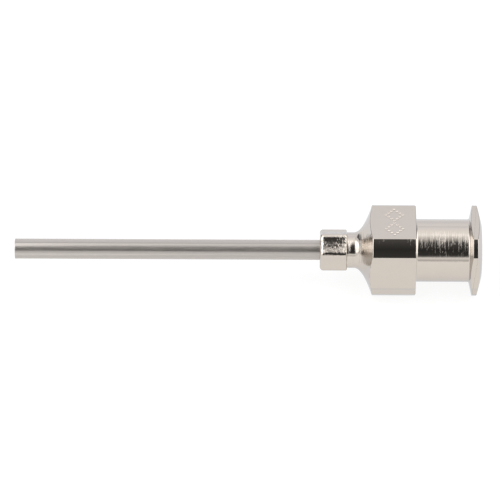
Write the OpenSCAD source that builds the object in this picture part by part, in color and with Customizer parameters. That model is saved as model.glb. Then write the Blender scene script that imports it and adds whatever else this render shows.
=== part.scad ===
// Blunt dispensing needle: a stainless tube fixed in a luer-lock hub turned from square bar.
// It lies on one flat of the hub. The axis is along X, the tip towards -X and the socket towards +X.
// Sizes are in millimetres. The origin is under the middle of the whole length, on the surface it lies on.

/* [Needle tube] */
// Outside diameter of the tube
tube_d = 1.75; // [1.3:0.05:1.9]
// Thickness of the tube's wall
tube_wall = 0.19; // [0.08:0.01:0.3]
// Length of tube that stands out of the hub
tube_free_l = 26.4; // [10:0.1:50]
// Bevel left by deburring the tip
tip_break = 0.04; // [0.01:0.01:0.08]

/* [Crimped collar] */
// Length of the collar that is crimped on the tube
collar_l = 2.35; // [1.5:0.05:4]
// Diameter of the collar over its six ridges
collar_d = 3.66; // [3.4:0.02:4.2]
// Width across two opposite crimped faces, at their middles
crimp_af = 3.18; // [3.1:0.02:3.3]
// Radius of the jaws that pressed the six faces in
jaw_r = 4; // [3:0.5:20]
// Radius of the collar's front edge
collar_front_r = 0.42; // [0.1:0.02:0.5]
// Bevel of the collar's back edge
collar_back_break = 0.12; // [0.02:0.02:0.16]
// How far the crimp squeezes the tube in all round, which locks it in the hub
crimp_squeeze = 0.02; // [0.01:0.01:0.05]
// Radial gap between the tube and the drilled hole behind the crimp
hole_gap = 0.03; // [0.01:0.01:0.08]

/* [Front neck and flare] */
// Diameter of the neck behind the collar
front_neck_d = 3.1; // [2.6:0.02:3.2]
// Length of the neck behind the collar
front_neck_l = 0.6; // [0.3:0.1:2]
// Length over which the bell-shaped flare opens to the block
flare_l = 1.55; // [1.2:0.05:3]
// Slope of the flare where it meets the block, from the axis
flare_slope = 72; // [66:1:80]

/* [Square block] */
// Width of the bar across its flats
bar_af = 6.6; // [6.2:0.05:7]
// Diameter that the corners of the block and the flange are turned to
corner_d = 7.83; // [7.4:0.01:8.2]
// Length of the block
block_l = 3.78; // [2:0.1:8]
// Bevel of the turned edges
edge_break = 0.08; // [0.02:0.01:0.14]

/* [Rear neck and lock flange] */
// Diameter of the neck between the block and the flange
rear_neck_d = 5.44; // [5.1:0.02:6]
// Length of the neck between the block and the flange
rear_neck_l = 4.6; // [4:0.1:8]
// Radius of the fillets at the two ends of the neck
neck_fillet_r = 0.14; // [0.04:0.02:0.3]
// Length of the flange's sloping front face
flange_front_l = 0.26; // [0.1:0.01:0.5]
// Length of the flange's rim, which engages the lock thread
flange_rim_l = 0.42; // [0.3:0.01:0.8]
// Length of the flange's sloping back face
flange_back_l = 0.4; // [0.2:0.01:0.6]
// Diameter of the flat ring round the mouth
end_ring_d = 4.9; // [4.8:0.05:5.4]

/* [Luer socket] */
// Diameter of the socket at its mouth
mouth_d = 4.3; // [4.2:0.01:4.4]
// Loss of diameter for each millimetre of depth, the luer taper
taper = 0.06; // [0.05:0.005:0.07]
// Depth of the tapered wall
socket_l = 8; // [7.5:0.1:9]
// Angle of the drill point that makes the socket's floor
drill_angle = 118; // [90:1:130]
// Bevel of the socket's mouth
mouth_break = 0.08; // [0.02:0.01:0.12]

/* [Hidden] */
$fn = 96;

// Number of jaws that close on the collar
jaws = 6;
// Segments along the flare's curve and along each rounded corner
flare_steps = 16;
round_steps = 6;
// How far a cutting tool runs past the face that it cuts
run_out = 1;

nickel = [0.80, 0.78, 0.74];
steel = [0.72, 0.71, 0.70];

// Places along the axis, from the collar's front face
collar_end = collar_l;
flare_start = collar_end + front_neck_l;
block_start = flare_start + flare_l;
block_end = block_start + block_l;
flange_start = block_end + rear_neck_l;
rim_start = flange_start + flange_front_l;
rim_end = rim_start + flange_rim_l;
hub_l = rim_end + flange_back_l;

// The socket's floor, and the drilled hole that starts at its point
floor_d = mouth_d - taper * socket_l;
hole_d = tube_d + 2 * hole_gap;
grip_d = tube_d - 2 * crimp_squeeze;
floor_start = hub_l - socket_l;
drill_point_l = (floor_d - hole_d) / 2 / tan(drill_angle / 2);
tube_end = floor_start - drill_point_l;

total_l = tube_free_l + hub_l;
axis_z = bar_af / 2;

// Points on an arc about [r, s] in an outline, where r is out from the axis and s along it
function arc_points(r, s, radius, from, to) =
    [for (i = [0:round_steps]) let (a = from + (to - from) * i / round_steps)
        [r + radius * cos(a), s + radius * sin(a)]];

// A point on the flare: a curve that leaves the neck along it and meets the block at flare_slope
function flare_point(t) =
    let (neck_r = front_neck_d / 2, top_r = corner_d / 2 - edge_break)
    let (knee_s = block_start - (top_r - neck_r) / tan(flare_slope))
    [
        (1 - t * t) * neck_r + t * t * top_r,
        (1 - t) * (1 - t) * flare_start + 2 * t * (1 - t) * knee_s + t * t * block_start
    ];

collar_outline = concat(
    arc_points(collar_d / 2 - collar_front_r, collar_front_r, collar_front_r, -90, 0),
    [
        [collar_d / 2, collar_end - collar_back_break],
        [collar_d / 2 - collar_back_break, collar_end],
        [front_neck_d / 2, collar_end]
    ]
);

flare_outline = [for (i = [0:flare_steps]) flare_point(i / flare_steps)];

block_outline = [
    [corner_d / 2, block_start + edge_break],
    [corner_d / 2, block_end - edge_break],
    [corner_d / 2 - edge_break, block_end]
];

rear_neck_outline = concat(
    arc_points(rear_neck_d / 2 + neck_fillet_r, block_end + neck_fillet_r, neck_fillet_r, 270, 180),
    arc_points(rear_neck_d / 2 + neck_fillet_r, flange_start - neck_fillet_r, neck_fillet_r, 180, 90)
);

flange_outline = [
    [corner_d / 2, rim_start],
    [corner_d / 2, rim_end],
    [end_ring_d / 2, hub_l]
];

// Lays a form that was turned about +Z, from the collar's front face, along the part's own axis
module along_axis() {
    translate([tube_free_l - total_l / 2, 0, axis_z]) rotate([0, 90, 0]) children();
}

// The outside of the hub as the lathe leaves it, before the bar's flats are counted
module turned_outside() {
    rotate_extrude() polygon(concat(
        [[0, 0]],
        collar_outline, flare_outline, block_outline, rear_neck_outline, flange_outline,
        [[0, hub_l]]
    ));
}

// The square bar, whose flats show wherever the turned outside reaches past them
module square_bar() {
    translate([-bar_af / 2, -bar_af / 2, -run_out]) cube([bar_af, bar_af, hub_l + 2 * run_out]);
}

// The jaws where they stop, one facing each side of the part and the others spaced round the collar
module crimp_jaws() {
    for (jaw = [1:jaws])
        rotate([0, 0, 90 + jaw * 360 / jaws])
            translate([crimp_af / 2 + jaw_r, 0, -run_out])
                cylinder(r = jaw_r, h = collar_end + run_out);
}

// The luer socket with its bevelled mouth and drill-point floor
module socket() {
    rotate_extrude() polygon([
        [0, tube_end],
        [hole_d / 2, tube_end],
        [floor_d / 2, floor_start],
        [mouth_d / 2, hub_l],
        [mouth_d / 2 + run_out, hub_l + run_out],
        [0, hub_l + run_out]
    ]);
}

// The bevel at the mouth, a little wider than the taper
module mouth_bevel() {
    rotate_extrude() polygon([
        [0, hub_l - mouth_break],
        [mouth_d / 2, hub_l - mouth_break],
        [mouth_d / 2 + mouth_break + run_out, hub_l + run_out],
        [0, hub_l + run_out]
    ]);
}

// The hole for the tube: pressed tight on it inside the collar, and drilled with a gap behind
module tube_hole() {
    translate([0, 0, -run_out]) cylinder(d = grip_d, h = collar_end + 2 * run_out);
    translate([0, 0, collar_end]) cylinder(d = hole_d, h = tube_end - collar_end + run_out);
}

module hub() {
    color(nickel) along_axis() difference() {
        intersection() {
            turned_outside();
            square_bar();
        }
        crimp_jaws();
        socket();
        mouth_bevel();
        tube_hole();
    }
}

module needle_tube() {
    bore_d = tube_d - 2 * tube_wall;
    color(steel) along_axis() difference() {
        rotate_extrude() polygon([
            [0, -tube_free_l],
            [tube_d / 2 - tip_break, -tube_free_l],
            [tube_d / 2, tip_break - tube_free_l],
            [tube_d / 2, 0],
            [grip_d / 2, 0],
            [grip_d / 2, collar_end],
            [tube_d / 2, collar_end],
            [tube_d / 2, tube_end],
            [0, tube_end]
        ]);
        translate([0, 0, -tube_free_l - run_out])
            cylinder(d = bore_d, h = tube_free_l + tube_end + 2 * run_out);
    }
}

hub();
needle_tube();
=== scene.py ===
"""Dresses the dispensing needle tip: a nickel-plated luer-lock hub and its stainless tube.

Pieces are modelled in millimetres about the part's own axis, then brought to metres in the frame
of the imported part. The tip points to -X, the luer socket to +X, and the part lies on z = 0.
"""

import logging
import math
from collections.abc import Callable
from dataclasses import dataclass
from enum import Enum

import bpy
from mathutils import Matrix, Vector


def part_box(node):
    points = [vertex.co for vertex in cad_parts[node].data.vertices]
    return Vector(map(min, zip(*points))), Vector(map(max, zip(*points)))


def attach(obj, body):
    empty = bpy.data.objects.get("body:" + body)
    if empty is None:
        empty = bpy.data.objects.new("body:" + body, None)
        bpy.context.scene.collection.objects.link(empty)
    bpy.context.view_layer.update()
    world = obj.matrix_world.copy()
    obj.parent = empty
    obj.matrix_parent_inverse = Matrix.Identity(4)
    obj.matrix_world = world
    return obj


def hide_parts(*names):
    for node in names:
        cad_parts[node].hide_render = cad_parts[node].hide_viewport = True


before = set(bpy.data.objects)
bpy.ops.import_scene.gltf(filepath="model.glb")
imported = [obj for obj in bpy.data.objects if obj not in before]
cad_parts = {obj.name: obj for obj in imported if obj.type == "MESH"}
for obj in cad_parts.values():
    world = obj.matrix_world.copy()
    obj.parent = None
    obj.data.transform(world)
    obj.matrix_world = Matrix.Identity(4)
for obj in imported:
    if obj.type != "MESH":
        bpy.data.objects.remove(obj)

log = logging.getLogger("needle_tip")

MM = 0.001  # A millimetre, in metres.
WELD = 0.0005  # Points that lie closer together than this, in mm, are one point.
MEAN_NOISE = 0.5  # What a noise pattern comes to on average.

Colour = tuple[float, float, float, float]
Range = tuple[float, float]
Bands = tuple[Range, ...]
Outline = list[Vector]
Piece = bpy.types.Object
Socket = bpy.types.NodeSocket
EdgeTest = Callable[[Vector, Vector], bool]

WHITE: Colour = (1.0, 1.0, 1.0, 1.0)


class Side(Enum):
    """The four flats of the square bar, by the direction that each one faces."""

    TOP = (0, 0, 1)
    UNDER = (0, 0, -1)
    NEAR = (0, -1, 0)
    FAR = (0, 1, 0)


# --------------------------------
# Modelling


@dataclass(frozen=True)
class Corner:
    """One corner of a turned outline.

    Args:
        s: Place along the axis, from the collar's front face, in mm.
        r: Distance from the axis, in mm.
        rounding: Radius that the corner is rounded to, in mm, or 0 for a sharp one.
    """

    s: float
    r: float
    rounding: float = 0.0

    @property
    def point(self) -> Vector:
        """The corner as a 2-D point."""
        return Vector((self.s, self.r))


def rounded_outline(corners: list[Corner], steps: int = 6) -> Outline:
    """Replaces each corner that has a rounding by an arc tangent to both of its sides.

    Args:
        corners: The corners in order round a closed outline.
        steps: Segments in each arc.

    Returns:
        The points of the closed outline.
    """
    points: Outline = []
    for index, corner in enumerate(corners):
        here = corner.point
        if corner.rounding <= 0:
            points.append(here)
            continue
        back = (corners[index - 1].point - here).normalized()
        ahead = (corners[(index + 1) % len(corners)].point - here).normalized()
        half = back.angle(ahead) / 2
        middle = here + (back + ahead).normalized() * (corner.rounding / math.sin(half))
        reach = corner.rounding / math.tan(half)
        start, end = here + back * reach - middle, here + ahead * reach - middle
        turn = start.angle_signed(end)
        for step in range(steps + 1):
            spoke = Matrix.Rotation(-turn * step / steps, 2) @ start
            points.append(middle + spoke)
    return points


def deselect_all() -> None:
    """Leaves no object selected, so that an operator acts on the new piece alone."""
    if bpy.context.object and bpy.context.object.mode != "OBJECT":
        bpy.ops.object.mode_set(mode="OBJECT")
    bpy.ops.object.select_all(action="DESELECT")


def make_active(piece: Piece) -> None:
    """Selects one object alone and makes it the active one.

    Args:
        piece: The object.
    """
    deselect_all()
    piece.select_set(True)
    bpy.context.view_layer.objects.active = piece


def apply_modifier(piece: Piece, kind: str, **settings: object) -> None:
    """Adds one modifier and applies it.

    Args:
        piece: The object.
        kind: Blender's name for the modifier's type.
        settings: Properties of the modifier.
    """
    make_active(piece)
    modifier = piece.modifiers.new(kind.lower(), kind)
    for key, value in settings.items():
        setattr(modifier, key, value)
    bpy.ops.object.modifier_apply(modifier=modifier.name)


def polar(length: float, angle: float) -> Vector:
    """The 2-D vector of a given length and angle."""
    return Vector((length * math.cos(angle), length * math.sin(angle)))


def draw_loop(name: str, places: list[Vector]) -> Piece:
    """Draws a closed loop of edges by extruding one point from place to place.

    Args:
        name: Name of the new piece.
        places: Points of the loop.

    Returns:
        The new object, in edit mode with the loop selected.
    """
    deselect_all()
    bpy.ops.mesh.primitive_plane_add(size=1)
    piece = bpy.context.object
    piece.name = piece.data.name = name
    bpy.ops.object.mode_set(mode="EDIT")
    bpy.ops.mesh.select_mode(type="VERT")
    bpy.ops.mesh.select_all(action="SELECT")
    bpy.ops.mesh.merge(type="CENTER")
    bpy.ops.transform.translate(value=places[0])
    for before, after in zip(places, places[1:] + places[:1]):
        bpy.ops.mesh.extrude_region_move(TRANSFORM_OT_translate={"value": after - before})
    bpy.ops.mesh.select_all(action="SELECT")
    bpy.ops.mesh.remove_doubles(threshold=WELD)
    bpy.ops.mesh.select_all(action="SELECT")
    return piece


@dataclass(frozen=True)
class Lathe:
    """Turns outlines about the part's axis.

    Args:
        origin_x: Where the outline's zero lies along X, in mm.
        axis_z: Height of the axis, in mm.
        steps: Facets round a full turn.
    """

    origin_x: float
    axis_z: float
    steps: int

    def place(self, point: Vector) -> Vector:
        """Puts an outline's point in space, half a facet off the vertical, so none is cut thin.

        Args:
            point: The place along the axis, and the distance from it.

        Returns:
            The point in space.
        """
        lean = math.pi / self.steps
        out = Vector((0, -math.sin(lean), math.cos(lean)))
        return Vector((self.origin_x + point.x, 0, self.axis_z)) + out * point.y

    def turn(self, name: str, outline: Outline) -> Piece:
        """Draws a closed outline by extruding one point, and spins it into a solid of revolution.

        Args:
            name: Name of the new piece.
            outline: Points of the closed outline.

        Returns:
            The new object, in millimetres.
        """
        piece = draw_loop(name, [self.place(point) for point in outline])
        bpy.ops.mesh.spin(
            steps=self.steps, angle=math.tau, use_auto_merge=False,
            center=(self.origin_x, 0, self.axis_z), axis=(1, 0, 0),
        )
        bpy.ops.mesh.select_all(action="SELECT")
        bpy.ops.mesh.remove_doubles(threshold=WELD)
        bpy.ops.mesh.normals_make_consistent(inside=False)
        bpy.ops.object.mode_set(mode="OBJECT")
        return piece


def select_edges(piece: Piece, wanted: EdgeTest) -> int:
    """Selects, in edit mode, the edges of a piece that a test accepts.

    Args:
        piece: The object, in object mode when called and in edit mode after.
        wanted: Takes the two end points of an edge and says whether it is selected.

    Returns:
        How many edges were selected.
    """
    make_active(piece)
    bpy.ops.object.mode_set(mode="EDIT")
    bpy.ops.mesh.select_mode(type="EDGE")
    bpy.ops.mesh.select_all(action="DESELECT")
    bpy.ops.object.mode_set(mode="OBJECT")
    mesh = piece.data
    count = 0
    for edge in mesh.edges:
        first, second = (mesh.vertices[index].co for index in edge.vertices)
        edge.select = wanted(first, second)
        count += edge.select
    bpy.ops.object.mode_set(mode="EDIT")
    return count


def to_metres(piece: Piece) -> None:
    """Brings a piece that was modelled in millimetres to metres, with its object left unscaled.

    Args:
        piece: The object.
    """
    make_active(piece)
    piece.scale = (MM, MM, MM)
    bpy.ops.object.transform_apply(location=True, rotation=True, scale=True)


# --------------------------------
# Finishes


@dataclass(frozen=True)
class Pattern:
    """A noise pattern over a piece.

    Args:
        scale: How many features lie in a millimetre.
        detail: How many finer patterns are laid over the first.
        roughness: Strength of each one against the one before.
        stretch: Scale along X, Y and Z before that: under 1 draws it out.
    """

    scale: float
    detail: float
    roughness: float = 0.5
    stretch: tuple[float, float, float] | None = None


def dimmed(colour: Colour, share: float) -> Colour:
    """A share of a colour."""
    return tuple(share * part for part in colour[:3]) + (1.0,)


class Graph:
    """Adds and wires the nodes of one shader."""

    def __init__(self, tree: bpy.types.NodeTree) -> None:
        """Starts from the emptied node tree of a material or a world."""
        self.tree = tree
        tree.nodes.clear()

    def node(self, kind: str, sources: dict[int | str, object] | None = None,
             **settings: object) -> bpy.types.Node:
        """Adds a node.

        Args:
            kind: Blender's name for the node type.
            sources: What feeds each input: a socket to wire from, or a value to set.
            settings: Properties of the node.

        Returns:
            The new node.
        """
        node = self.tree.nodes.new(kind)
        for key, value in settings.items():
            setattr(node, key, value)
        for key, source in (sources or {}).items():
            if isinstance(source, Socket):
                self.tree.links.new(source, node.inputs[key])
            else:
                node.inputs[key].default_value = source
        return node

    def math(self, operation: str, *values: object) -> Socket:
        """Adds a Math node and returns its result."""
        return self.node("ShaderNodeMath", dict(enumerate(values)), operation=operation).outputs[0]

    def smooth(self, value: object, low: float, high: float, start: float = 0.0,
               end: float = 1.0) -> Socket:
        """Eases from start to end while a value goes from low to high."""
        sources = {"Value": value, "From Min": low, "From Max": high, "To Min": start,
                   "To Max": end}
        return self.node("ShaderNodeMapRange", sources, interpolation_type="SMOOTHSTEP").outputs[0]

    def mix(self, factor: object, first: object, second: object, kind: str = "FLOAT") -> Socket:
        """Goes from one value or colour to another as the factor goes from 0 to 1."""
        sources = {"Factor": factor, "A": first, "B": second}
        return self.node("ShaderNodeMix", sources, data_type=kind).outputs["Result"]

    def stretched(self, vector: object, scale: tuple[float, float, float]) -> Socket:
        """Scales a coordinate by a different amount each way."""
        return self.node("ShaderNodeMapping", {"Vector": vector, "Scale": scale}).outputs[0]

    def millimetres(self) -> Socket:
        """The place on the piece, in millimetres."""
        place = self.node("ShaderNodeTexCoord").outputs["Object"]
        return self.stretched(place, (1 / MM, 1 / MM, 1 / MM))

    def noise(self, place: Socket, pattern: Pattern) -> Socket:
        """Adds a noise pattern.

        Args:
            place: The place on the piece, in millimetres.
            pattern: What the pattern is like.

        Returns:
            The pattern's value, from 0 to 1.
        """
        if pattern.stretch:
            place = self.stretched(place, pattern.stretch)
        return self.node("ShaderNodeTexNoise", {
            "Vector": place, "Scale": pattern.scale, "Detail": pattern.detail,
            "Roughness": pattern.roughness,
        }).outputs[0]

    def bump(self, height: Socket) -> Socket:
        """The surface's normal where a height in metres disturbs it."""
        sources = {"Strength": 1.0, "Distance": 1.0, "Height": height}
        return self.node("ShaderNodeBump", sources).outputs["Normal"]

    def metal(self, tint: Socket, roughness: object, normal: Socket,
              edge_tint: Colour = WHITE) -> Socket:
        """Adds bare metal and returns its shader."""
        return self.node("ShaderNodeBsdfPrincipled", {
            "Base Color": tint, "Metallic": 1.0, "Roughness": roughness,
            "Specular Tint": edge_tint, "Normal": normal,
        }).outputs["BSDF"]


def new_material(name: str) -> tuple[bpy.types.Material, Graph]:
    """Makes a material with an empty node tree.

    Args:
        name: Its name.

    Returns:
        The material, and the graph that fills its node tree.
    """
    material = bpy.data.materials.new(name)
    material.use_nodes = True
    return material, Graph(material.node_tree)


class HubPlaces:
    """Tells a shader where on the hub it is."""

    def __init__(self, graph: Graph, hub: "Hub") -> None:
        """Reads the place.

        Args:
            graph: The shader's graph.
            hub: The piece, whose sizes say where its parts lie.
        """
        self.graph, self.hub = graph, hub
        self.place = graph.millimetres()
        self.x, self.y, self.z = graph.node("ShaderNodeSeparateXYZ", {0: self.place}).outputs

    def along(self, start_s: float, end_s: float, start: float = 0.0, end: float = 1.0) -> Socket:
        """Eases from start to end between two distances from the collar's front face."""
        return self.graph.smooth(self.x, self.hub.x_at(start_s), self.hub.x_at(end_s), start, end)

    def off_flats(self, start: float, end: float) -> Socket:
        """Tells the turned faces from the flats.

        Args:
            start: How far inside the flats the change starts, in mm.
            end: How far inside them it ends.

        Returns:
            1 on the turned faces and 0 on the flats.
        """
        side = self.graph.math("ABSOLUTE", self.y)
        rise = self.graph.math("ABSOLUTE", self.graph.math("SUBTRACT", self.z, self.hub.axis_z))
        off_axis = self.graph.math("MAXIMUM", side, rise)
        half = self.hub.bar_af / 2
        return self.graph.smooth(off_axis, half - start, half - end, 1.0, 0.0)


@dataclass(frozen=True)
class NickelPlate:
    """Bright nickel over turned brass: a near mirror that still shows the lathe's marks.

    Depths are in metres and other lengths in mm. Names end in fade_l for how far a kind of mark
    takes to come or go, and parts are parts of the marks' depth.

    Args:
        colour: Reflection straight on.
        edge_tint: How much of the light a grazing look still sees, in each colour.
        clouds, cloud_shade: Where the plate is duller, and how much it reflects there.
        roughness: Roughness of the polished plate.
        wear, wear_range, wear_spread: Where it is rougher, the values of that pattern between
            which the roughness rises, and its least and greatest, as parts of the plate's.
        flare_roughness: Roughness of the flare, which the tool's lines blur.
        flare_blur: How far behind the flare's front that starts and is full.
        flat_fade: How far inside the flats the turned faces' marks fade.
        lathe, lathe_mark: Pattern and depth of the turning marks.
        fine_share: Part of the fine marks.
        score_range, score_height: Values of the pattern between which a score begins, and
            the parts outside a score and in it.
        least_marks: Part of the marks everywhere.
        flare_marks, flare_start_marks, flare_fade_l: Their parts on the flare and at its front.
        block_fade_l: Before the block, where the flare's marks go.
        neck_start_marks, neck_fade_l: Their part on the rear neck at the block.
        flange_fade_l, collar_fade_l: Before the flange and behind the collar.
        crimped, crinkle: Pattern and depth of the crinkles on the crimped collar.
        front_crinkles, neck_flecks: How many times as deep they are at the collar's front, and
            on the rear neck, where they are flecks.
        rippled, ripple: Pattern and depth of the slow ripple in the plate.
        painted_reflection_line, painted_line_at, painted_line_width: A painted dark line along
            the bar's flats that stands in for a reflection: its strength, how far below the axis
            it lies, and its width.
        painted_line_rest: How much of the painted line stays on the flat below it.
        painted_line_tint: Colour of the painted reflection in that line.
    """

    colour: Colour = (0.615, 0.558, 0.498, 1.0)
    edge_tint: Colour = (0.82, 0.85, 0.90, 1.0)
    clouds: Pattern = Pattern(0.9, 3.0)
    cloud_shade: float = 0.97
    roughness: float = 0.045
    wear: Pattern = Pattern(2.0, 4.0)
    wear_range: Range = (0.3, 0.8)
    wear_spread: Range = (0.8, 1.4)
    flare_roughness: float = 0.15
    flare_blur: Range = (0.1, 0.6)
    flat_fade: Range = (0.04, 0.01)
    lathe: Pattern = Pattern(11.0, 3.0, 0.6, (1.0, 0.04, 0.04))
    lathe_mark: float = 3.1e-6
    fine_share: float = 0.5
    score_range: Range = (0.50, 0.64)
    score_height: Range = (-0.45, 0.55)
    least_marks: float = 0.25
    flare_marks: float = 1.2
    flare_start_marks: float = 1.6
    flare_fade_l: float = 0.5
    block_fade_l: float = 0.3
    neck_start_marks: float = 0.45
    neck_fade_l: float = 2.5
    flange_fade_l: float = 0.2
    collar_fade_l: float = 0.1
    crimped: Pattern = Pattern(2.2, 3.0, 0.6, (1.3, 1.0, 1.0))
    crinkle: float = 5.0e-5
    front_crinkles: float = 1.8
    neck_flecks: float = 0.06
    rippled: Pattern = Pattern(1.3, 1.0)
    ripple: float = 1.2e-6
    painted_reflection_line: float = 0.5
    painted_line_at: float = 1.5
    painted_line_width: float = 0.16
    painted_line_rest: float = 0.4
    painted_line_tint: Colour = (0.48, 0.47, 0.47, 1.0)

    def build(self, hub: "Hub") -> bpy.types.Material:
        """Makes the material.

        Args:
            hub: The piece that wears it, whose sizes say where each kind of mark lies.

        Returns:
            The material.
        """
        material, graph = new_material("nickel_plate")
        at = HubPlaces(graph, hub)
        turned = at.off_flats(*self.flat_fade)
        on_flare = at.along(hub.block_start - self.block_fade_l, hub.block_start, 1.0, 0.0)
        on_neck = graph.math(
            "MULTIPLY",
            at.along(hub.block_end, hub.block_end + self.neck_fade_l, self.neck_start_marks),
            at.along(hub.flange_start - self.flange_fade_l, hub.flange_start, 1.0, 0.0),
        )
        marks = self.turning_marks(at, turned, on_flare, on_neck)
        ripples = graph.math("MULTIPLY", graph.noise(at.place, self.rippled), self.ripple)
        height = graph.math("ADD", graph.math("ADD", marks, self.crinkles(at, on_neck)), ripples)
        plate = graph.metal(
            self.tint(at, turned), self.blur(at, on_flare), graph.bump(height), self.edge_tint,
        )
        graph.node("ShaderNodeOutputMaterial", {"Surface": plate})
        return material

    def turning_marks(self, at: HubPlaces, turned: Socket, on_flare: Socket,
                      on_neck: Socket) -> Socket:
        """Cuts the lathe's marks into the turned faces behind the collar.

        Args:
            at: The place on the hub.
            turned: 1 on the turned faces.
            on_flare: 1 ahead of the block.
            on_neck: Depth of the marks on the rear neck.

        Returns:
            Their height, in metres.
        """
        graph, hub = at.graph, at.hub
        pattern = graph.noise(at.place, self.lathe)
        scores = graph.smooth(pattern, *self.score_range, *self.score_height)
        marks = graph.math("MULTIPLY_ADD", pattern, self.fine_share, scores)
        ahead = at.along(hub.flare_start, hub.flare_start + self.flare_fade_l,
                         self.flare_start_marks, self.flare_marks)
        elsewhere = graph.math("MULTIPLY_ADD", ahead, on_flare, self.least_marks)
        strength = graph.math("MAXIMUM", on_neck, elsewhere)
        behind_collar = at.along(hub.collar_l, hub.collar_l + self.collar_fade_l)
        marks = graph.math("MULTIPLY", graph.math("MULTIPLY", marks, strength),
                           graph.math("MULTIPLY", turned, behind_collar))
        return graph.math("MULTIPLY", marks, self.lathe_mark)

    def crinkles(self, at: HubPlaces, on_neck: Socket) -> Socket:
        """Crinkles the collar, and flecks the rear neck a little.

        Args:
            at: The place on the hub.
            on_neck: 1 on the rear neck.

        Returns:
            The height of the crinkles, in metres.
        """
        graph, hub = at.graph, at.hub
        pattern = graph.math("SUBTRACT", graph.noise(at.place, self.crimped), MEAN_NOISE)
        on_collar = graph.math(
            "MULTIPLY",
            at.along(hub.collar_l - hub.collar_back_r, hub.collar_l, 1.0, 0.0),
            at.along(0, 2 * hub.collar_front_r, self.front_crinkles, 1.0),
        )
        strength = graph.math("MULTIPLY_ADD", on_neck, self.neck_flecks, on_collar)
        return graph.math("MULTIPLY", graph.math("MULTIPLY", pattern, strength), self.crinkle)

    def tint(self, at: HubPlaces, turned: Socket) -> Socket:
        """Colours the plate, with a painted dark line on the flats that stands in for a
        reflection.

        Args:
            at: The place on the hub.
            turned: 1 on the turned faces.

        Returns:
            The plate's reflection straight on.
        """
        graph = at.graph
        plain = graph.mix(graph.noise(at.place, self.clouds), self.colour,
                          dimmed(self.colour, self.cloud_shade), "RGBA")
        # Painted reflection: a dark line across the flats at a fixed height below the axis, and a
        # fainter darkening under it.
        below = graph.math("SUBTRACT", at.hub.axis_z - self.painted_line_at, at.z)
        line = graph.math(
            "MULTIPLY",
            graph.smooth(below, -self.painted_line_width, 0.0, 0.0, self.painted_reflection_line),
            graph.smooth(below, 0.0, self.painted_line_width, 1.0, self.painted_line_rest),
        )
        shade = graph.math("MULTIPLY", line, graph.math("SUBTRACT", 1.0, turned))
        return graph.mix(shade, plain, self.painted_line_tint, "RGBA")

    def blur(self, at: HubPlaces, on_flare: Socket) -> Socket:
        """Roughens the flare more than the rest.

        Args:
            at: The place on the hub.
            on_flare: 1 ahead of the block.

        Returns:
            The plate's roughness.
        """
        graph, hub = at.graph, at.hub
        least, most = self.wear_spread
        worn = graph.smooth(graph.noise(at.place, self.wear), *self.wear_range,
                            self.roughness * least, self.roughness * most)
        start, full = self.flare_blur
        flared = graph.math(
            "MULTIPLY", at.along(hub.flare_start + start, hub.flare_start + full), on_flare)
        return graph.math("MAXIMUM", worn, graph.math("MULTIPLY", flared, self.flare_roughness))


@dataclass(frozen=True)
class SatinTube:
    """Drawn stainless steel with its grain along the tube.

    Args:
        colour: Reflection straight on.
        roughness: Roughness of the polished crests of the drawn surface.
        haze, haze_roughness: How much of the surface is fine scratches, and their roughness.
        haze_spread: Least and greatest haze, as parts of that.
        grained, grain: Pattern of the grain, and its depth in metres.
        grain_range: Values of that pattern between which the haze rises.
        streaked, streak_range, streak: Pattern of the faint streaks, its values between which
            one begins, and how much of the reflection is left in it.
        painted_reflection_line: How much of the colour is left in one painted dark line along
            the tube, which stands in for a reflection.
            painted_line_at, painted_line_width: Angle of that painted line up from the horizon in
            front, and its half width, in degrees.
    """

    colour: Colour = (0.560, 0.522, 0.488, 1.0)
    roughness: float = 0.16
    haze: float = 0.41
    haze_roughness: float = 0.55
    haze_spread: Range = (0.8, 1.2)
    grained: Pattern = Pattern(9.0, 4.0, 0.7, (0.05, 1.0, 1.0))
    grain_range: Range = (0.3, 0.7)
    grain: float = 0.6e-6
    streaked: Pattern = Pattern(3.0, 3.0, 0.6, (0.004, 1.0, 1.0))
    streak_range: Range = (0.35, 0.65)
    streak: float = 0.82
    painted_reflection_line: float = 0.66
    painted_line_at: float = 80.0
    painted_line_width: float = 9.0

    def build(self, tube: "NeedleTube") -> bpy.types.Material:
        """Makes the material.

        Args:
            tube: The piece that wears it, whose axis the lines run along.

        Returns:
            The material.
        """
        material, graph = new_material("stainless_tube")
        place = graph.millimetres()
        lines = graph.noise(place, self.grained)
        streaks = graph.smooth(graph.noise(place, self.streaked), *self.streak_range)
        tint = graph.mix(streaks, self.colour, dimmed(self.colour, self.streak), "RGBA")
        # Painted reflection: a dark line along the tube, at a fixed angle about its axis.
        _, y, z = graph.node("ShaderNodeSeparateXYZ", {0: place}).outputs
        height = graph.math("SUBTRACT", z, tube.axis_z)
        turn = graph.math("ARCTAN2", height, graph.math("MULTIPLY", y, -1.0))
        off = graph.math("ABSOLUTE", graph.math("SUBTRACT", turn, math.radians(self.painted_line_at)))
        on_line = graph.smooth(off, 0.0, math.radians(self.painted_line_width), 1.0, 0.0)
        tint = graph.mix(on_line, tint, dimmed(self.colour, self.painted_reflection_line), "RGBA")
        normal = graph.bump(graph.math("MULTIPLY", lines, self.grain))
        crests = graph.metal(tint, self.roughness, normal)
        scratches = graph.metal(tint, self.haze_roughness, normal)
        least, most = self.haze_spread
        haze = graph.smooth(lines, *self.grain_range, self.haze * least, self.haze * most)
        steel = graph.node("ShaderNodeMixShader", {0: haze, 1: crests, 2: scratches})
        graph.node("ShaderNodeOutputMaterial", {"Surface": steel.outputs["Shader"]})
        return material


# --------------------------------
# The part


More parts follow.
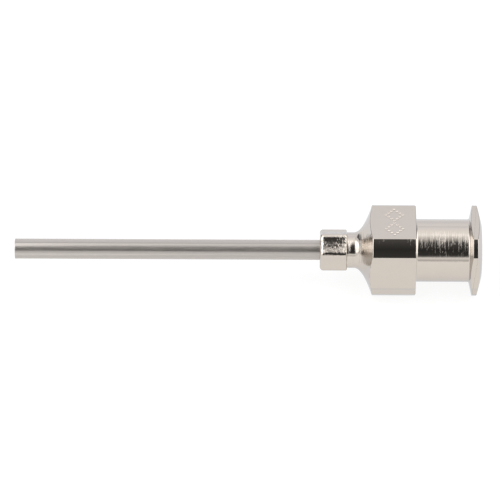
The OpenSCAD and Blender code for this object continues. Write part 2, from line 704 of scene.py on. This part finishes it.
@dataclass
class Hub:
    """The luer-lock hub, turned from square bar. Sizes are in millimetres.

    Names end in d for a diameter, l for a length along the axis, r for a radius, and steps for
    the number of segments in a curve.

    Args:
        front_x: Place of the collar's front face along X.
        axis_z: Height of the axis.
        bar_af: Width of the bar across its flats.
        collar_l: Length of the collar.
        crimp_af, crimp_turn: Width across two crimped faces, and their turn in degrees.
        jaws, jaw_r, jaw_steps: The jaws that close on the collar.
        ridge_r, ridge_steps: The ridges left between the jaws.
        collar_front_r, collar_front_steps: Rounding round the collar's front end.
        collar_back_r, collar_back_steps: Rounding round its back end.
        front_neck_d, front_neck_l: The neck behind the collar.
        flare_l, flare_slope, flare_steps: The flare, and its slope at the block, in degrees.
        corner_d, block_l: The block, and the diameter that the bar's corners are turned to.
        rear_neck_d, rear_neck_l, fillet_r: The neck behind the block, and its fillets.
        flange_front_l, flange_rim_l, flange_back_l: Front slope, rim and back of the flange.
        end_ring_d: The flat ring round the mouth.
        mouth_d, taper, socket_l: The luer socket, and its taper on the diameter.
        drill_angle: Angle of the drill's point at the socket's floor, in degrees.
        grip_d, hole_d, hole_steps: The hole inside the crimped collar and behind it.
        edge_r: Rounding of the turned edges.
        flat_edge, flat_edge_steps: Rounding between a flat and a turned face.
        long_edge: The same where the edge runs along the bar.
        dents, dent_d: Dents in each of the two diamonds on the top flat, and their width.
        dent_ball: Radius of the ball that makes a dent.
        mark_r, mark_pitch: Half the width of a diamond, and the distance between the two.
        smooth_angle: Greatest angle that is shaded smooth, in degrees.
        steps: Facets round the turned faces.
    """

    front_x: float
    axis_z: float
    bar_af: float
    collar_l: float = 2.35
    crimp_af: float = 3.18
    crimp_turn: float = 1.7
    jaws: int = 6
    jaw_r: float = 4.0
    jaw_steps: int = 10
    ridge_r: float = 0.45
    ridge_steps: int = 14
    collar_front_r: float = 0.3
    collar_front_steps: int = 7
    collar_back_r: float = 0.12
    collar_back_steps: int = 4
    front_neck_d: float = 3.1
    front_neck_l: float = 0.6
    flare_l: float = 1.55
    flare_slope: float = 72.0
    flare_steps: int = 28
    corner_d: float = 7.83
    block_l: float = 3.78
    rear_neck_d: float = 5.44
    rear_neck_l: float = 4.6
    fillet_r: float = 0.14
    flange_front_l: float = 0.26
    flange_rim_l: float = 0.42
    flange_back_l: float = 0.4
    end_ring_d: float = 4.9
    mouth_d: float = 4.3
    taper: float = 0.06
    socket_l: float = 8.0
    drill_angle: float = 118.0
    grip_d: float = 1.71
    hole_d: float = 1.81
    hole_steps: int = 128
    edge_r: float = 0.09
    flat_edge: float = 0.045
    long_edge: float = 0.008
    flat_edge_steps: int = 3
    dents: int = 12
    dent_d: float = 0.24
    dent_ball: float = 0.16
    mark_r: float = 0.72
    mark_pitch: float = 1.75
    smooth_angle: float = 42.0
    steps: int = 256

    def __post_init__(self) -> None:
        """Works out the places along the axis."""
        self.flare_start: float = self.collar_l + self.front_neck_l
        self.block_start: float = self.flare_start + self.flare_l
        self.block_end: float = self.block_start + self.block_l
        self.flange_start: float = self.block_end + self.rear_neck_l
        self.rim_start: float = self.flange_start + self.flange_front_l
        self.rim_end: float = self.rim_start + self.flange_rim_l
        self.length: float = self.rim_end + self.flange_back_l

    def x_at(self, s: float) -> float:
        """The place along X, in mm, of a distance from the collar's front face."""
        return self.front_x + s

    def flare(self) -> list[Corner]:
        """Bends the bell-shaped flare between the front neck and the block.

        Returns:
            A run of fine corners.
        """
        neck_r, top_r = self.front_neck_d / 2, self.corner_d / 2
        start, end = self.flare_start, self.block_start
        knee = end - (top_r - neck_r) / math.tan(math.radians(self.flare_slope))
        corners = []
        for step in range(self.flare_steps):
            t = step / self.flare_steps
            r = neck_r + t * t * (top_r - neck_r)
            s = (1 - t) ** 2 * start + 2 * t * (1 - t) * knee + t * t * end
            corners.append(Corner(s, r))
        return corners

    def outline(self) -> Outline:
        """Draws the turned hub, which starts inside the collar so that the two join with no gap.

        Returns:
            The closed outline, from the front neck round to the tube's hole.
        """
        neck_r, corner_r = self.front_neck_d / 2, self.corner_d / 2
        front_s = self.collar_l - self.front_neck_l
        rear_r, mouth_r = self.rear_neck_d / 2, self.mouth_d / 2
        hole_r = self.hole_d / 2
        floor_r = mouth_r - self.taper * self.socket_l / 2
        floor_s = self.length - self.socket_l
        point_s = floor_s - (floor_r - hole_r) / math.tan(math.radians(self.drill_angle / 2))
        return rounded_outline([
            Corner(front_s, neck_r),
            *self.flare(),
            Corner(self.block_start, corner_r, self.edge_r),
            Corner(self.block_end, corner_r, self.edge_r),
            Corner(self.block_end, rear_r, self.fillet_r),
            Corner(self.flange_start, rear_r, self.fillet_r),
            Corner(self.rim_start, corner_r, self.edge_r / 2),
            Corner(self.rim_end, corner_r, self.edge_r / 2),
            Corner(self.length, self.end_ring_d / 2, self.edge_r / 2),
            Corner(self.length, mouth_r, self.edge_r),
            Corner(floor_s, floor_r, self.edge_r),
            Corner(point_s, hole_r),
            Corner(front_s, hole_r),
        ])

    def build(self) -> Piece:
        """Turns the hub, cuts its flats, stamps the mark, and joins the crimped collar.

        Returns:
            The finished piece, in metres.
        """
        lathe = Lathe(self.front_x, self.axis_z, self.steps)
        piece = lathe.turn("plated_hub", self.outline())
        self.cut_flats(piece)
        self.stamp(piece)
        self.join_collar(piece)
        self.smooth(piece)
        to_metres(piece)
        return piece

    def cut_flats(self, piece: Piece) -> None:
        """Cuts the four flats of the bar and rounds their edges.

        Args:
            piece: The turned hub.
        """
        half = self.bar_af / 2
        centre = Vector((0, 0, self.axis_z))
        for side in Side:
            facing = Vector(side.value)
            make_active(piece)
            bpy.ops.object.mode_set(mode="EDIT")
            bpy.ops.mesh.select_all(action="SELECT")
            bpy.ops.mesh.bisect(
                plane_co=centre + facing * half, plane_no=facing,
                use_fill=True, clear_outer=True, threshold=WELD,
            )
            bpy.ops.object.mode_set(mode="OBJECT")

        def on_flat(point: Vector) -> bool:
            """Says whether a point lies on one of the flats."""
            return max(abs(point.y), abs(point.z - self.axis_z)) > half - WELD

        def on_one_flat(first: Vector, second: Vector) -> bool:
            """Says whether an edge lies along the border of a flat."""
            return on_flat(first) and on_flat(second)

        def lengthwise(first: Vector, second: Vector) -> bool:
            """Says whether a border edge runs along the bar."""
            return on_one_flat(first, second) and abs(first.x - second.x) > self.block_l / 2

        shortest = self.flat_edge / 6
        select_edges(piece, on_one_flat)
        bpy.ops.mesh.remove_doubles(threshold=shortest)
        bpy.ops.object.mode_set(mode="OBJECT")
        count = select_edges(piece, on_one_flat)
        bpy.ops.transform.edge_bevelweight(value=1.0)
        bpy.ops.object.mode_set(mode="OBJECT")
        select_edges(piece, lengthwise)
        bpy.ops.transform.edge_bevelweight(value=self.long_edge / self.flat_edge - 1.0)
        bpy.ops.object.mode_set(mode="OBJECT")
        apply_modifier(piece, "BEVEL", limit_method="WEIGHT", width=self.flat_edge,
                       segments=self.flat_edge_steps, use_clamp_overlap=False)
        log.info("rounded %d edges along the flats", count)

    def stamp(self, piece: Piece) -> None:
        """Dents a plain pattern of two diamonds into the top flat.

        Args:
            piece: The hub with its flats.
        """
        middle_s = (self.block_start + self.block_end) / 2
        lift = math.sqrt(self.dent_ball**2 - (self.dent_d / 2) ** 2)
        deselect_all()
        balls = []
        for centre_y in (-self.mark_pitch / 2, self.mark_pitch / 2):
            for step in range(self.dents):
                # How many of the diamond's four sides the dent has gone round.
                turn = 4 * step / self.dents
                along = 1 - abs((turn + 1) % 4 - 2)
                across = 1 - abs(turn % 4 - 2)
                place = (
                    self.x_at(middle_s) + self.mark_r * along,
                    centre_y + self.mark_r * across,
                    self.axis_z + self.bar_af / 2 + lift,
                )
                bpy.ops.mesh.primitive_uv_sphere_add(
                    segments=20, ring_count=14, radius=self.dent_ball, location=place)
                balls.append(bpy.context.object)
        for ball in balls:
            ball.select_set(True)
        bpy.ops.object.join()
        tool = bpy.context.object
        apply_modifier(piece, "BOOLEAN", operation="DIFFERENCE", object=tool, solver="EXACT")
        bpy.data.objects.remove(tool)

    def collar_outline(self) -> Outline:
        """Draws the crimped collar across the axis: concave faces joined by rounded ridges.

        Returns:
            The closed outline about the axis, across and up.
        """
        half = math.pi / self.jaws
        jaw_at, reach = self.crimp_af / 2 + self.jaw_r, self.jaw_r + self.ridge_r
        side = jaw_at * math.cos(half)
        ridge_at = side - math.sqrt(side**2 - jaw_at**2 + reach**2)
        lean = math.atan2(jaw_at * math.sin(half), side - ridge_at)
        points: Outline = []
        for jaw in range(self.jaws):
            ridge = math.radians(self.crimp_turn) + (2 * jaw + 1) * half
            for step in range(self.ridge_steps + 1):
                angle = ridge + lean * (step / (self.ridge_steps / 2) - 1)
                points.append(polar(ridge_at, ridge) + polar(self.ridge_r, angle))
            for step in range(1, self.jaw_steps):
                angle = ridge + half + (lean - half) * (1 - step / (self.jaw_steps / 2))
                points.append(polar(jaw_at, ridge + half) - polar(self.jaw_r, angle))
        return points

    def join_collar(self, piece: Piece) -> None:
        """Models the crimped collar, rounds its ends, drills it for the tube and joins it on.

        Args:
            piece: The hub without its collar.
        """
        back_x = self.x_at(self.collar_l)
        collar = draw_loop("collar", [
            Vector((self.front_x, point.x, self.axis_z + point.y))
            for point in self.collar_outline()
        ])
        bpy.ops.mesh.edge_face_add()
        bpy.ops.mesh.extrude_region_move(TRANSFORM_OT_translate={"value": (self.collar_l, 0, 0)})
        bpy.ops.mesh.select_all(action="SELECT")
        bpy.ops.mesh.normals_make_consistent(inside=False)
        for end_x, radius, segments in (
            (self.front_x, self.collar_front_r, self.collar_front_steps),
            (back_x, self.collar_back_r, self.collar_back_steps),
        ):
            select_edges(
                collar, lambda a, b, x=end_x: abs(a.x - x) + abs(b.x - x) < WELD)
            bpy.ops.mesh.bevel(offset=radius, segments=segments, affect="EDGES")
            bpy.ops.object.mode_set(mode="OBJECT")
        deselect_all()
        bpy.ops.mesh.primitive_cylinder_add(
            vertices=self.hole_steps, radius=self.grip_d / 2, depth=3 * self.collar_l,
            location=(self.x_at(self.collar_l / 2), 0, self.axis_z), rotation=(0, math.pi / 2, 0),
        )
        drill = bpy.context.object
        apply_modifier(collar, "BOOLEAN", operation="DIFFERENCE", object=drill, solver="EXACT")
        apply_modifier(piece, "BOOLEAN", operation="UNION", object=collar, solver="EXACT")
        for tool in (drill, collar):
            bpy.data.objects.remove(tool)

    def smooth(self, piece: Piece) -> None:
        """Shades the turned faces smooth and leaves the flats flat.

        Args:
            piece: The whole hub.
        """
        make_active(piece)
        bpy.ops.object.shade_smooth_by_angle(angle=math.radians(self.smooth_angle))
        half = self.bar_af / 2
        for face in piece.data.polygons:
            centre = face.center
            off_axis = max(abs(centre.y), abs(centre.z - self.axis_z))
            face.use_smooth = off_axis < half - WELD


@dataclass
class NeedleTube:
    """The stainless tube, from the tip to the floor of the socket. Sizes are in millimetres.

    Args:
        tip_x: Place of the tip along X.
        rear_x: Place of the end in the socket.
        front_x: Place of the front face of the hub's collar.
        collar_l: For how long the collar grips the tube.
        axis_z: Height of the axis.
        tube_d: Outside diameter.
        grip_d: Diameter where the collar squeezes the tube.
        wall: Thickness of the wall.
        tip_r: Rounding that deburring leaves at the tip.
        tip_steps: Segments in that rounding.
        smooth_angle: Greatest angle that is shaded smooth, in degrees.
        steps: Facets round the tube.
    """

    tip_x: float
    rear_x: float
    front_x: float
    collar_l: float
    axis_z: float
    tube_d: float
    grip_d: float
    wall: float = 0.19
    tip_r: float = 0.04
    tip_steps: int = 4
    smooth_angle: float = 40.0
    steps: int = 128

    def outline(self) -> Outline:
        """Draws the tube's wall, measured from the collar's front face.

        Returns:
            The closed outline.
        """
        outer, inner, grip = self.tube_d / 2, self.tube_d / 2 - self.wall, self.grip_d / 2
        tip, rear = self.tip_x - self.front_x, self.rear_x - self.front_x
        return rounded_outline([
            Corner(tip, inner, self.tip_r / 2),
            Corner(tip, outer, self.tip_r),
            Corner(0, outer),
            Corner(0, grip),
            Corner(self.collar_l, grip),
            Corner(self.collar_l, outer),
            Corner(rear, outer),
            Corner(rear, inner),
        ], self.tip_steps)

    def build(self) -> Piece:
        """Turns the tube.

        Returns:
            The finished piece, in metres.
        """
        lathe = Lathe(self.front_x, self.axis_z, self.steps)
        piece = lathe.turn("drawn_tube", self.outline())
        make_active(piece)
        bpy.ops.object.shade_smooth_by_angle(angle=math.radians(self.smooth_angle))
        to_metres(piece)
        return piece


# --------------------------------
# The studio


def banded(graph: Graph, turn: Socket, bands: Bands) -> Socket:
    """Makes light that changes with the angle about the X axis.

    Args:
        graph: The world's graph.
        turn: The angle, from 0 to 1 for -180 to 180 degrees.
        bands: Angles in degrees and the light there.

    Returns:
        The light.
    """
    brightest = max(light for _, light in bands)
    ramp = graph.node("ShaderNodeValToRGB", {0: turn})
    stops = ramp.color_ramp.elements
    while len(stops) < len(bands):
        stops.new(0.5)
    for stop, (degrees, light) in zip(stops, bands):
        stop.position = degrees / 360 + 0.5
        stop.color = (light / brightest,) * 3 + (1.0,)
    return graph.math("MULTIPLY", ramp.outputs["Color"], brightest)


@dataclass(frozen=True)
class Studio:
    """A white table under soft light, with the dark room behind the camera.

    Directions to the side are given as their sine, from -1 straight left along the part to 1
    straight right. Bands go up from the horizon in front, over the top and down behind, each
    with its angle in degrees and its light.

    Args:
        elevation: Height of the camera, in degrees above the table.
        distance: Distance of the camera, in metres.
        lens, sensor: Focal length and width of the sensor, in mm.
        clip_start: Distance at which the camera starts to see, in metres.
        roll: Turn of the camera about its own line of sight, in degrees.
        aim_x, aim_drop: How far right of the part's middle and below its axis the camera
            looks, in mm.
        bands: The light in the camera's upright plane, where the room is dark.
        room_half_width, room_top_half_width: How far to each side the dark room goes, low
            down and at its ceiling.
        room_narrows: Angles between which it narrows, in degrees.
        room_blur: Half the blur at its edges.
        left_bands, right_bands: The light to the left and to the right.
        side_blur: Half the blur between these.
        left_end: Where the left light comes up from its end.
        left_end_light: What is left of it straight along the part.
        panel_inner, panel_outer: Where the dark panels behind the part begin and end.
        panel_angles: Angles between which they come in, in degrees.
        panel_light: Their light.
        far_angles, far_tint: Angles between which the light behind takes its tint, and that.
        floor_size: Width of the table, in metres.
        floor_grey, floor_roughness: How much light the table gives back, and its roughness.
        floor_light: Light of the table's own.
    """

    elevation: float = 42.9
    distance: float = 0.39
    lens: float = 324.0
    sensor: float = 36.0
    clip_start: float = 0.01
    roll: float = 0.26
    aim_x: float = 0.175
    aim_drop: float = 0.05
    bands: Bands = (
        (-180, 1.0), (-2, 1.0), (1, 0.97), (4, 0.66), (8, 0.68), (11, 0.97), (15, 0.97),
        (20, 0.18), (25, 0.05), (45, 0.036), (58, 0.062), (71, 0.10), (76, 0.24), (81, 0.46),
        (87, 0.72), (93, 0.92), (98, 1.18), (102, 1.30), (110, 1.20), (125, 1.12),
        (130, 1.06), (134, 1.01), (137, 1.01), (140, 0.84), (144, 1.02),
        (155, 1.02), (163, 0.96), (180, 0.95),
    )
    room_half_width: float = 0.5
    room_top_half_width: float = 0.25
    room_narrows: Range = (35, 80)
    room_blur: float = 0.08
    left_bands: Bands = (
        (-180, 1.0), (18, 1.0), (28, 2.2), (54, 2.2), (64, 2.6), (102, 2.6), (114, 0.95),
        (126, 0.95), (180, 0.95),
    )
    right_bands: Bands = (
        (-180, 1.0), (18, 1.0), (28, 2.2), (116, 2.2), (126, 0.95), (180, 0.95),
    )
    side_blur: float = 0.1
    left_end: Range = (-0.98, -0.88)
    left_end_light: float = 0.45
    panel_inner: Range = (0.48, 0.58)
    panel_outer: Range = (0.86, 0.94)
    panel_angles: Range = (134, 142)
    panel_light: float = 0.14
    far_angles: Range = (116, 136)
    far_tint: Colour = (1.02, 1.03, 1.08, 1.0)
    floor_size: float = 4.0
    floor_grey: float = 0.12
    floor_roughness: float = 0.9
    floor_light: float = 0.885

    def camera(self, axis_z: float) -> None:
        """Places the camera and looks at the part.

        Args:
            axis_z: Height of the part's axis, in mm.
        """
        target = Vector((self.aim_x, 0, axis_z - self.aim_drop)) * MM
        angle = math.radians(self.elevation)
        away = Vector((0, -math.cos(angle), math.sin(angle)))
        data = bpy.data.cameras.new("camera")
        data.lens, data.sensor_width = self.lens, self.sensor
        data.clip_start = self.clip_start
        camera = bpy.data.objects.new("camera", data)
        bpy.context.scene.collection.objects.link(camera)
        camera.location = target + away * self.distance
        turn = (-away).to_track_quat("-Z", "Y").to_matrix().to_4x4()
        turn = turn @ Matrix.Rotation(math.radians(self.roll), 4, "Z")
        camera.rotation_euler = turn.to_euler()
        bpy.context.scene.camera = camera

    def world(self) -> None:
        """Builds the light that surrounds the part."""
        world = bpy.data.worlds.new("studio")
        world.use_nodes = True
        bpy.context.scene.world = world
        graph = Graph(world.node_tree)
        place = graph.node("ShaderNodeTexCoord").outputs["Generated"]
        x, y, z = graph.node("ShaderNodeSeparateXYZ", {0: place}).outputs
        angle = graph.math("ARCTAN2", z, graph.math("MULTIPLY", y, -1.0))
        turn = graph.math("MULTIPLY_ADD", angle, 1 / math.tau, 0.5)
        right = graph.smooth(x, -self.side_blur, self.side_blur)
        left_light = graph.math("MULTIPLY", banded(graph, turn, self.left_bands),
                                graph.smooth(x, *self.left_end, self.left_end_light, 1.0))
        side = graph.mix(right, left_light, banded(graph, turn, self.right_bands))
        half_width = graph.smooth(angle, *map(math.radians, self.room_narrows),
                                  self.room_half_width, self.room_top_half_width)
        out = graph.math("ABSOLUTE", x)
        aside = graph.smooth(graph.math("SUBTRACT", out, half_width),
                             -self.room_blur, self.room_blur)
        light = graph.mix(aside, banded(graph, turn, self.bands), side)
        panel = graph.math(
            "MULTIPLY",
            graph.math("MULTIPLY", graph.smooth(out, *self.panel_inner),
                       graph.smooth(out, *self.panel_outer, 1.0, 0.0)),
            graph.smooth(angle, *map(math.radians, self.panel_angles)),
        )
        behind = graph.smooth(angle, *map(math.radians, self.far_angles))
        back = graph.node("ShaderNodeBackground", {
            "Color": graph.mix(behind, WHITE, self.far_tint, "RGBA"),
            "Strength": graph.mix(panel, light, self.panel_light),
        })
        graph.node("ShaderNodeOutputWorld", {"Surface": back.outputs["Background"]})

    def floor(self) -> Piece:
        """Lays the white table, lit from inside a little as a light table is.

        Returns:
            The table.
        """
        deselect_all()
        bpy.ops.mesh.primitive_plane_add(size=self.floor_size)
        floor = bpy.context.object
        floor.name = "floor"
        material, graph = new_material("white_table")
        table = graph.node("ShaderNodeBsdfPrincipled", {
            "Base Color": dimmed(WHITE, self.floor_grey), "Roughness": self.floor_roughness,
            "Emission Color": WHITE, "Emission Strength": self.floor_light,
        })
        graph.node("ShaderNodeOutputMaterial", {"Surface": table.outputs["BSDF"]})
        floor.data.materials.append(material)
        return floor

    def colours(self) -> None:
        """Shows light as it is, with no film curve."""
        settings = bpy.context.scene.view_settings
        settings.view_transform = "Standard"
        settings.look = "None"


def box_mm(node: str) -> tuple[Vector, Vector]:
    """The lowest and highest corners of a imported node, in millimetres."""
    low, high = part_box(node)
    return Vector(low) / MM, Vector(high) / MM


def dress(piece: Piece, material: bpy.types.Material, node: str) -> None:
    """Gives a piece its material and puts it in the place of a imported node.

    Args:
        piece: The finished piece.
        material: What it wears.
        node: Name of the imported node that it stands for.
    """
    piece.data.materials.clear()
    piece.data.materials.append(material)
    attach(piece, "root")
    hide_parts(node)
    log.info("%s stands for %s with %d faces", piece.name, node, len(piece.data.polygons))


def main() -> None:
    """Builds the part and the studio in order."""
    logging.basicConfig(level=logging.INFO, format="%(name)s: %(message)s")
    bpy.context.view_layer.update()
    hub_low, hub_high = box_mm("hub")
    tube_low, tube_high = box_mm("needle_tube")
    axis_z = (hub_low.z + hub_high.z) / 2

    studio = Studio()
    studio.colours()
    studio.world()
    studio.camera(axis_z)
    studio.floor()

    hub = Hub(front_x=hub_low.x, axis_z=axis_z, bar_af=hub_high.z - hub_low.z)
    plated = hub.build()
    dress(plated, NickelPlate().build(hub), "hub")

    tube = NeedleTube(
        tip_x=tube_low.x, rear_x=tube_high.x, front_x=hub_low.x, collar_l=hub.collar_l,
        axis_z=axis_z, tube_d=tube_high.z - tube_low.z, grip_d=hub.grip_d,
    )
    drawn = tube.build()
    dress(drawn, SatinTube().build(tube), "needle_tube")


if __name__ == "__main__":
    main()
